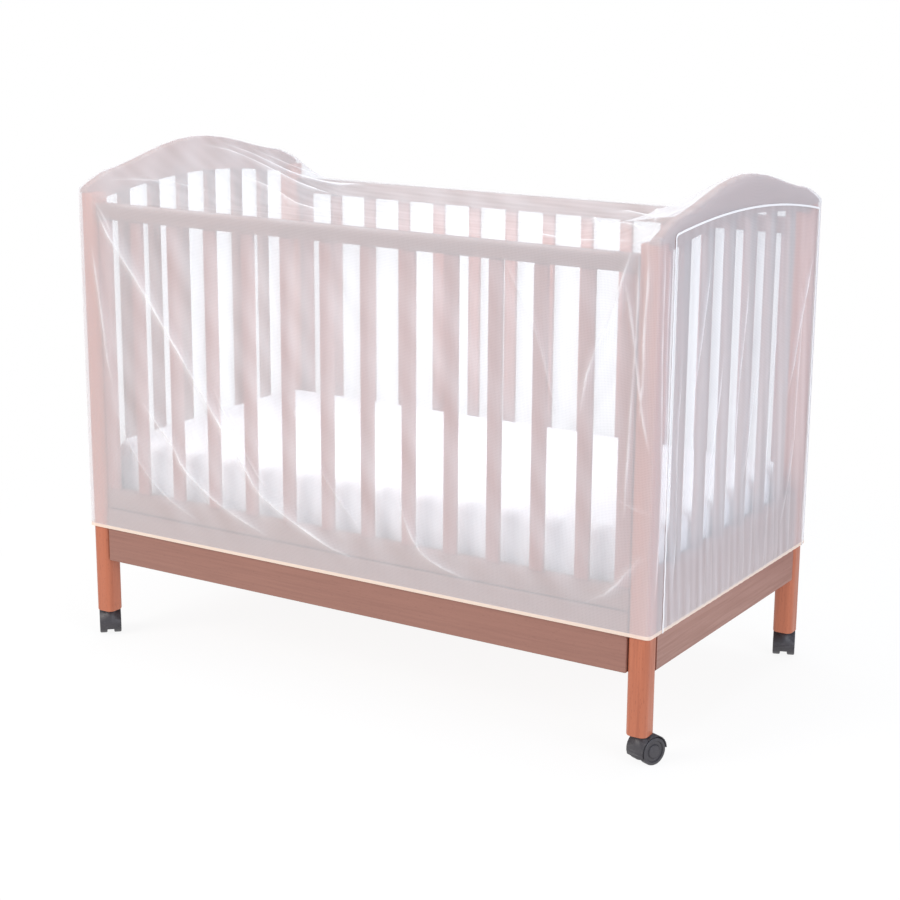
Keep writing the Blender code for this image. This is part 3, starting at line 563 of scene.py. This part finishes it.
def ripples(a, b, seed, count, shortest, longest, heading, spread):
    # soft uneven waves, from about -1 to 1, that run across one heading in degrees
    draw = np.random.default_rng(seed)
    total = np.zeros_like(a)
    for _ in range(count):
        angle = math.radians(heading + draw.uniform(-spread, spread))
        wave = 2 * math.pi / draw.uniform(shortest, longest)
        total += np.sin(wave * (a * math.cos(angle) + b * math.sin(angle)) + draw.uniform(0, 2 * math.pi))
    return total / math.sqrt(count) / 1.5


gathers = dict(count=27, seed=5, lowest=0.05, tallest=0.30, width=0.0098, height=0.0042, hemShare=0.25, shine=0.30)


def endGathers(y, z):  # upright gathers above an end panel's hem, each with its own height, lean and fullness, and a painted highlight along its crest
    draw = np.random.default_rng(gathers["seed"])
    lift, crest = np.zeros_like(y), np.zeros_like(y)
    span = net["seamRear"] - net["seamFront"]
    above = z - net["hem"]
    rising = gathers["hemShare"] + (1 - gathers["hemShare"]) * smoothStep(above, 0.0, 0.03)
    for number in range(gathers["count"]):
        middle = net["seamFront"] + span * (number + 0.5 + draw.uniform(-0.3, 0.3)) / gathers["count"]
        top = gathers["lowest"] + (gathers["tallest"] - gathers["lowest"]) * draw.random() ** 2.2
        lean, bend, size = draw.uniform(-0.09, 0.09), draw.uniform(-0.004, 0.004), draw.uniform(0.55, 1.0)
        off = np.abs(y - middle - lean * above - bend * np.sin(above * 30))
        fade = (1 - above / top).clip(0) ** 0.8 * rising
        lift = np.maximum(lift, size * gathers["height"] * fade * (1 - off / (gathers["width"] * size)).clip(0) ** 1.3)
        # painted highlight along each gather's crest, partly the cloth doubled there
        crest = np.maximum(crest, gathers["shine"] * size * fade * (1 - off / cloth["crestWidth"]).clip(0))
    inside = smoothStep(np.minimum(y - net["seamFront"], net["seamRear"] - y), 0.0, 0.02)
    return lift * inside, crest * inside


def netMaterial():  # knitted polyester, sheer, matt and cool white; its holes are drawn at 2.6 mm so that they show
    material, tree, out = newMaterial("knittedMesh")
    veil = addNode(tree, "ShaderNodeAttribute", attribute_name="veil")
    crest = addNode(tree, "ShaderNodeAttribute", attribute_name="crest")
    hem = addNode(tree, "ShaderNodeAttribute", attribute_name="hem")
    where = addNode(tree, "ShaderNodeUVMap", uv_map="cloth")
    scaled = addNode(tree, "ShaderNodeMapping", {"Vector": where.outputs[0], "Scale": [1000 / cloth["meshPitch"]] * 3})
    cells = addNode(tree, "ShaderNodeTexVoronoi", {"Vector": scaled.outputs[0], "Scale": 1.0, "Randomness": 0.15},
                    voronoi_dimensions="2D", feature="DISTANCE_TO_EDGE")
    thread = addNode(tree, "ShaderNodeMapRange", {0: cells.outputs["Distance"], 1: 0.10, 2: 0.34, 3: 1.14, 4: 0.92})
    cover = addNode(tree, "ShaderNodeMath", {0: veil.outputs["Fac"], 1: thread.outputs[0]}, operation="MULTIPLY")
    # painted highlight: the crests add opaque white thread, partly the cloth doubled in the fold
    creasedAndHighlit = addNode(tree, "ShaderNodeMath", {
        0: crest.outputs["Fac"], 1: cloth["crestVeil"], 2: cover.outputs[0],
    }, operation="MULTIPLY_ADD", use_clamp=True)
    hemmed = addNode(tree, "ShaderNodeMix", {0: hem.outputs["Fac"], 2: creasedAndHighlit.outputs[0], 3: cloth["hemVeil"]})
    # painted highlight: pure white thread along the crests
    highlightTone = addNode(tree, "ShaderNodeMix", {
        0: crest.outputs["Fac"], 6: linear(cloth["thread"]), 7: linear(cloth["crestThread"]),
    }, data_type="RGBA")
    tone = addNode(tree, "ShaderNodeMix", {
        0: hem.outputs["Fac"], 6: highlightTone.outputs[2], 7: linear(cloth["hemThread"]),
    }, data_type="RGBA")
    face = addNode(tree, "ShaderNodeBsdfDiffuse", {"Color": tone.outputs[2], "Roughness": 0.6})
    back = addNode(tree, "ShaderNodeBsdfTranslucent", {"Color": tone.outputs[2]})
    threads = addNode(tree, "ShaderNodeMixShader", {0: 0.30, 1: face.outputs[0], 2: back.outputs[0]})
    holes = addNode(tree, "ShaderNodeBsdfTransparent", {"Color": (1, 1, 1, 1)})
    mixed = addNode(tree, "ShaderNodeMixShader", {0: hemmed.outputs[0], 1: holes.outputs[0], 2: threads.outputs[0]})
    tree.links.new(mixed.outputs[0], out.inputs["Surface"])
    return material


def tapeMaterial():
    material, tree, out = newMaterial("wovenTape")  # narrow polyester tape, finely ribbed, matt white
    where = addNode(tree, "ShaderNodeTexCoord")
    ribs = addNode(tree, "ShaderNodeTexNoise", {"Vector": where.outputs["Object"], "Scale": 700.0, "Detail": 1.0})
    tone = addNode(tree, "ShaderNodeMix", {0: ribs.outputs["Fac"], 6: linear("#f0eeee"), 7: linear("#fffefc")},
                   data_type="RGBA")
    bump = addNode(tree, "ShaderNodeBump", {"Height": ribs.outputs["Fac"], "Strength": 0.3, "Distance": 0.0002})
    shader = addNode(tree, "ShaderNodeBsdfPrincipled", {
        "Base Color": tone.outputs[2], "Roughness": 0.85, "Normal": bump.outputs[0],
    })
    tree.links.new(shader.outputs[0], out.inputs["Surface"])
    return material


meshCloth = netMaterial()
tapeCloth = tapeMaterial()


def cutCreases(bm, folds, outward, first, second):
    # edges along each crest and beside it, so that its line is crisp; first and second are the side's own axes
    outward = Vector(outward)
    faces = [f for f in bm.faces if f.normal.dot(outward) > 0.7]
    centres = np.array([f.calc_center_median() for f in faces])[:, (first, second)]
    for halfWidth, height, shine, corners in folds:
        path = smoothPath(corners)
        for p, q in zip(path, path[1:]):
            length = np.hypot(*(q - p))
            along = (q - p) / length
            normal = np.array((-along[1], along[0]))
            off = centres - (p + q) / 2
            beside = np.abs(off @ normal) < cloth["crestWidth"] + cloth["cellReach"]
            within = np.abs(off @ along) < length / 2 + cloth["cellReach"] / 2
            near = [faces[i] for i in np.flatnonzero(beside & within) if faces[i].is_valid]
            known = set(near)
            for shift in (-cloth["crestWidth"], 0.0, cloth["crestWidth"]):
                spot, across = Vector((0, 0, 0)), Vector((0, 0, 0))
                spot[first], spot[second] = p + normal * shift
                across[first], across[second] = normal
                edges = list(dict.fromkeys(e for f in near for e in f.edges))
                verts = list(dict.fromkeys(v for f in near for v in f.verts))
                cut = bmesh.ops.bisect_plane(bm, geom=near + edges + verts, dist=0.0006, plane_co=spot, plane_no=across)
                near = list(dict.fromkeys(f for f in near + cut["geom"] if isinstance(f, bmesh.types.BMFace)))
            grown = [f for f in near if f not in known]
            if grown:
                faces += grown
                grownCentres = np.array([f.calc_center_median() for f in grown])[:, (first, second)]
                centres = np.concatenate([centres, grownCentres])


def makeSheet(name, grid, creases, finish, material, mirrored=False):
    # a sheet from a grid of places (rows up, columns across) with its own flat map; finish gives the folds
    rows, columns = grid.shape[:2]
    bm = bmesh.new()
    bmesh.ops.create_grid(bm, x_segments=columns - 1, y_segments=rows - 1, size=0.5)
    flatMap = bm.loops.layers.uv.new("cloth")
    acrossStep = np.linalg.norm(np.diff(grid, axis=1), axis=2)
    upStep = np.linalg.norm(np.diff(grid, axis=0), axis=2)
    u = np.concatenate([np.zeros((rows, 1)), np.cumsum(acrossStep, axis=1)], axis=1)
    u -= u[:, columns // 2][:, None]
    v = np.concatenate([[0.0], np.cumsum(upStep[:, columns // 2])])
    cell = {}
    for vert in bm.verts:
        cell[vert] = (round((vert.co.y + 0.5) * (rows - 1)), round((vert.co.x + 0.5) * (columns - 1)))
    for face in bm.faces:
        for loop in face.loops:
            row, column = cell[loop.vert]
            loop[flatMap].uv = (u[row, column], v[row])
    for vert in bm.verts:
        vert.co = grid[cell[vert]]
    bm.normal_update()
    for folds, outward, first, second in creases:
        cutCreases(bm, folds, outward, first, second)
    bm.normal_update()
    points = np.array([vert.co for vert in bm.verts])
    normals = np.array([vert.normal for vert in bm.verts])
    lift, layers = finish(points, normals)
    points = points + normals * lift[:, None]
    if mirrored:
        points[:, 0] *= -1
        bmesh.ops.reverse_faces(bm, faces=bm.faces)
    for vert, point in zip(bm.verts, points):
        vert.co = point
    piece = addPiece(name, bm, material, 180)
    for layerName, values in layers.items():
        layer = piece.data.attributes.new(layerName, "FLOAT", "POINT")
        layer.data.foreach_set("value", values.astype(np.float32))
    return piece


def wallShares(count):  # fine rows at the hem, even ones above
    hemShare = cloth["hemHeight"] / cloth["wallHeight"]
    return [0, 0.45 * hemShare, 0.94 * hemShare, 1.06 * hemShare, *np.linspace(1.6 * hemShare, 1, count)]


def outlineRows(topRows):
    rows = [("front", share) for share in wallShares(cloth["wallRows"])]
    rows += [("frontRound", i / cloth["roundRows"]) for i in range(1, cloth["roundRows"])]
    rows += [("top", i / topRows) for i in range(topRows + 1)]
    rows += [("backRound", 1 - i / cloth["roundRows"]) for i in range(1, cloth["roundRows"])]
    rows += [("back", share) for share in reversed(wallShares(cloth["backRows"]))]
    return rows


def hemBand(z):
    return 1 - smoothStep(z, net["hem"] + 0.96 * cloth["hemHeight"], net["hem"] + 1.04 * cloth["hemHeight"])


def finishPanel(points, normals):
    x, y, z = points.T
    weights = {
        "front": (-normals[:, 1]).clip(0) ** 2, "back": normals[:, 1].clip(0) ** 2,
        "top": normals[:, 2].clip(0) ** 2, "end": normals[:, 0] ** 2,
    }
    total = sum(weights.values()) + 1e-9
    sides = {
        "front": foldLift(x, z, frontFolds), "back": foldLift(x, z, backFolds),
        "top": foldLift(x, y, topFolds), "end": foldLift(y, z, endFolds),
    }
    lift = sum(sides[side][0] * weights[side] for side in weights) / total
    crest = sum(sides[side][1] * weights[side] for side in weights) / total
    wall, lid, end = (weights["front"] + weights["back"]) / total, weights["top"] / total, weights["end"] / total
    free = wall * smoothStep(slopeX - np.abs(x), 0.0, 0.10)
    free = free * smoothStep(z - net["hem"], 0.0, 0.10) * smoothStep(0.874 - z, 0.0, 0.05)
    lift = lift + free * 0.0018 * (1 + ripples(x, z, 3, 7, 0.09, 0.30, 35, 30))
    veil = cloth["frontVeil"] * wall + cloth["topVeil"] * lid + cloth["endVeil"] * end
    veil = veil + 0.045 * free * ripples(x, z, 8, 7, 0.035, 0.15, 38, 18)
    veil = veil + 0.050 * lid * ripples(x, y, 12, 6, 0.04, 0.16, 60, 35)
    hem = hemBand(z)
    return lift + cloth["hemThick"] * hem, {"veil": veil, "crest": crest * (1 - hem), "hem": hem}


def buildMainPanel():
    inner = np.linspace(-slopeX, slopeX, cloth["innerColumns"] + 1)
    edge = [("round", i / cloth["roundRows"]) for i in range(cloth["roundRows"] + 1)]
    edge += [("flap", i / cloth["flapColumns"]) for i in range(1, cloth["flapColumns"] + 1)]
    grid = []
    for part, share in outlineRows(cloth["topRows"]):
        y, z, _, _ = outlinePoint(inner, part, share)
        middle = np.stack([inner, y, z], axis=1)
        edgeY, edgeZ, inY, inZ = [float(v[0]) for v in outlinePoint(np.array([net["x"]]), part, share)]
        seamY, seamZ, seamInY, seamInZ = seamPoint(part, share)
        side = []
        for kind, amount in edge:
            bend = amount * math.pi / 2 if kind == "round" else math.pi / 2
            off = net["sideRound"] * (1 - math.cos(bend))
            pointY, pointZ = edgeY + inY * off, edgeZ + inZ * off
            if kind == "flap":
                pointY += (seamY - seamInY * net["seamGap"] - pointY) * amount
                pointZ += (seamZ - seamInZ * net["seamGap"] - pointZ) * amount
            side.append((net["x"] - net["sideRound"] * (1 - math.sin(bend)), pointY, pointZ))
        side = np.array(side)
        grid.append(np.concatenate([(side * (-1, 1, 1))[::-1], middle, side]))
    creases = ((frontFolds, (0, -1, 0), 0, 2), (backFolds, (0, 1, 0), 0, 2), (topFolds, (0, 0, 1), 0, 1),
               (endFolds, (1, 0, 0), 1, 2))
    return makeSheet("NetMainPanel", np.array(grid), creases, finishPanel, meshCloth)


mainPanel = standFor(buildMainPanel(), "net_main_panel", "root")
print("main panel done")


def finishEnd(points, normals):
    x, y, z = points.T
    lift, crest = foldLift(y, z, endFolds)
    gathered, gatherHighlights = endGathers(y, z)
    low = 1 - smoothStep(z, 0.26, 0.62)
    veil = cloth["endVeil"] + 0.05 * ripples(y, z, 21, 7, 0.018, 0.07, 2, 5) * (0.5 + low)
    hem = hemBand(z)
    lift = np.maximum(lift, gathered) + cloth["hemThick"] * hem
    return lift, {"veil": veil, "crest": np.maximum(crest, gatherHighlights) * (1 - hem), "hem": hem}


def buildEnd(name, side):
    reaches = [row for row in outlineRows(cloth["endColumns"]) if row[0] not in ("front", "back")]
    reaches = [("frontRound", 0.0)] + reaches + [("backRound", 0.0)]
    tops = []
    for part, share in reaches:
        y, z, inY, inZ = seamPoint(part, share)
        tops.append((y + inY * net["seamGap"], z + inZ * net["seamGap"]))
    tops = np.array(tops)
    z = net["hem"] + (tops[:, 1] - net["hem"]) * np.array(wallShares(cloth["wallRows"]))[:, None]
    grid = np.stack([np.full_like(z, net["x"]), np.broadcast_to(tops[:, 0], z.shape), z], axis=2)
    return makeSheet(name, grid, ((endFolds, (1, 0, 0), 1, 2),), finishEnd, meshCloth, side < 0)


tape = dict(halfWidth=0.0019, thick=0.0009, off=0.0017, wave=0.0003, waves=160)


def buildTape(name, side):  # the narrow tape sewn over the seam
    strip = []
    for part, share in outlineRows(cloth["topRows"]):
        y, z, inY, inZ = seamPoint(part, share)
        strip.append([(net["x"] + tape["off"], y - inY * w * tape["halfWidth"], z - inZ * w * tape["halfWidth"])
                      for w in (-1, -0.35, 0.35, 1)])
    piece = makeSheet(name, np.array(strip), (), lambda points, normals: (
        tape["wave"] * np.sin(points[:, 2] * tape["waves"]), {}), tapeCloth, side < 0)
    solid = piece.modifiers.new("thickness", "SOLIDIFY")
    solid.thickness = tape["thick"]
    solid.offset = 0
    return piece


for sideName, side in (("left", -1), ("right", 1)):
    end = standFor(buildEnd(f"Net{sideName.title()}End", side), f"net_{sideName}_end", "root")
    binding = buildTape(f"SeamBinding{sideName.title()}", side)
    standFor(binding, f"seam_binding_{sideName}", "root")
print("net done")
